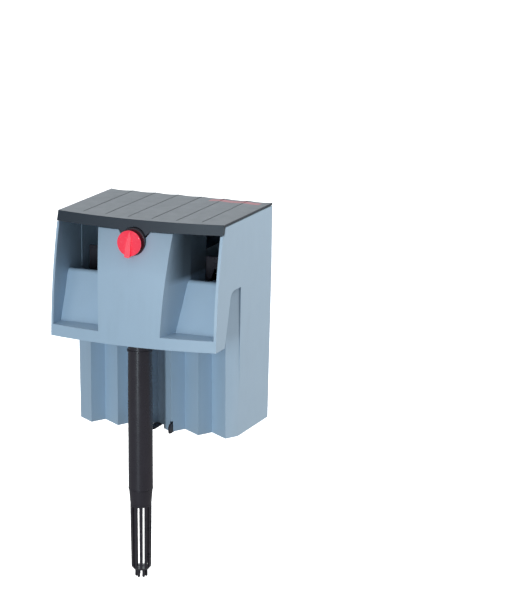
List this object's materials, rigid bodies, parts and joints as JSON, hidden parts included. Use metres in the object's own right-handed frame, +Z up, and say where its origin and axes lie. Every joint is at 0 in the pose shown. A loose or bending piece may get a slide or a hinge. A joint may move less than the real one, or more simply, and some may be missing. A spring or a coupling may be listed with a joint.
{
  "type": "hang-on-back aquarium filter",
  "caption": "Box-shaped filter that hangs on a tank rim, with a bowed front hood and two spillways, a slatted lid, a red flow knob and a telescopic intake tube with a slotted strainer.",
  "frame": {"origin": "middle of the seat that rests on the tank rim, on the ribs' underside", "axes": "+Z up, +Y away from the tank towards the rear box, +X to the right seen from the tank side"},
  "size_m": [0.16, 0.1343, 0.3277],
  "materials": {
    "housing": "satin",
    "lid": "satin",
    "red": "gloss",
    "black": "satin",
    "inner": "satin",
    "steel": "brushed",
    "magnet": "matte",
    "bobbin": "satin",
    "copper": "satin",
    "resin": "gloss",
    "rubber": "matte",
    "ceramic": "gloss",
    "foam": "open-cell foam",
    "carbon": "granular"
  },
  "bodies": {
    "housing": {"filter_housing": "housing", "knob_collar": "black", "valve_chamber": "inner", "valve_seat_plate": "inner", "discharge_spout": "inner", "riser_pipe": "inner", "motor_housing": "black", "motor_cap": "black", "stator_core": "steel", "coil_bobbin": "bobbin", "coil_winding": "copper", "stator_potting": "resin", "volute_housing": "black", "volute_cover": "black", "volute_oring": "rubber", "impeller_shaft": "ceramic", "upper_shaft_bush": "rubber", "lower_shaft_bush": "rubber", "intake_upper_tube": "black", "intake_collar": "black", "intake_outer_tube": "black", "inlet_baffle": "inner", "cartridge_frame_left": "black", "cartridge_frame_right": "black", "foam_pad_left": "foam", "foam_pad_right": "foam", "carbon_pad_left": "carbon", "carbon_pad_right": "carbon", "cable_grommet": "rubber"},
    "lid": {"lid_cover": "lid"},
    "knob": {"control_knob": "red", "knob_shaft": "black", "throttle_disc": "inner"},
    "rotor": {"impeller": "bobbin", "rotor_magnet": "magnet"},
    "lower_intake": {"intake_inner_tube": "black", "telescope_oring": "rubber", "strainer_adapter": "black", "strainer_basket": "black"},
    "spacer": {"leveling_spacer": "black"}
  },
  "joints": [
    {"name": "lid_lift", "type": "slide", "parent": "housing", "child": "lid", "axis": [0, 0, 1], "range_m": [0, 0.06]},
    {"name": "knob_turn", "type": "hinge", "parent": "housing", "child": "knob", "pos_m": [0, -0.0402, 0.0475], "axis": [0, 1, 0], "range_deg": [0, 90]},
    {"name": "impeller_spin", "type": "hinge", "parent": "housing", "child": "rotor", "pos_m": [0, -0.0207, -0.03], "axis": [0, 0, 1], "continuous": true},
    {"name": "intake_extend", "type": "slide", "parent": "housing", "child": "lower_intake", "axis": [0, 0, -1], "range_m": [0, 0.05]},
    {"name": "spacer_slide", "type": "slide", "parent": "housing", "child": "spacer", "axis": [0, -1, 0], "range_m": [-0.0055, 0.006]}
  ]
}
